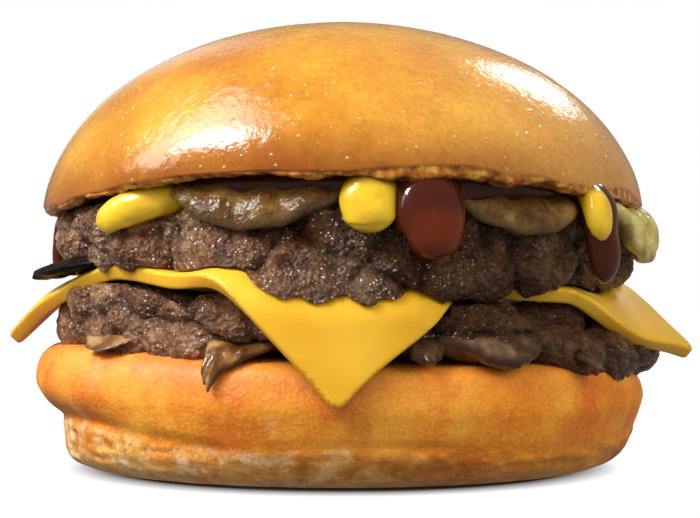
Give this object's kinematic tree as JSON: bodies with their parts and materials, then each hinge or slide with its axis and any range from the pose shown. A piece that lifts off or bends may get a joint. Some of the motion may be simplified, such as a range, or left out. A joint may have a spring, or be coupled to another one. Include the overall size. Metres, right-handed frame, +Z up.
{
  "type": "double hamburger",
  "caption": "Stacked burger in a glossy bun: beef patties, melted cheese, crinkle-cut pickles, mustard, brown-red sauce and fried onion, resting on its flat foot.",
  "frame": {"origin": "centre of the bun's flat foot", "axes": "+Z up through the stack, -Y towards the side with the hanging cheese corner, +X to that side's right"},
  "size_m": [0.1167, 0.1064, 0.0751],
  "materials": {
    "crust_glazed": "glossy egg-washed bread crust",
    "crust_soft": "satin baked bread crust",
    "beef": "moist grilled minced beef",
    "cheese": "softly melted processed cheese",
    "pickle": "wet translucent pickled cucumber",
    "sauce": "thick glossy sauce",
    "mustard": "smooth glossy mustard",
    "onion": "fried translucent onion",
    "char": "charred onion skin"
  },
  "bodies": {
    "root": {"bun_crown": "crust_glazed", "bun_heel": "crust_soft", "patty_upper": "beef", "patty_lower": "beef", "cheese_slice": "cheese", "pickle_front": "pickle", "pickle_right": "pickle", "pickle_side": "pickle", "sauce": "sauce", "mustard_left": "mustard", "mustard_front": "mustard", "mustard_right": "mustard", "onion_1": "onion", "onion_2": "onion", "onion_3": "onion", "onion_4": "onion", "onion_5": "onion", "charred_strip": "char"}
  },
  "joints": []
}
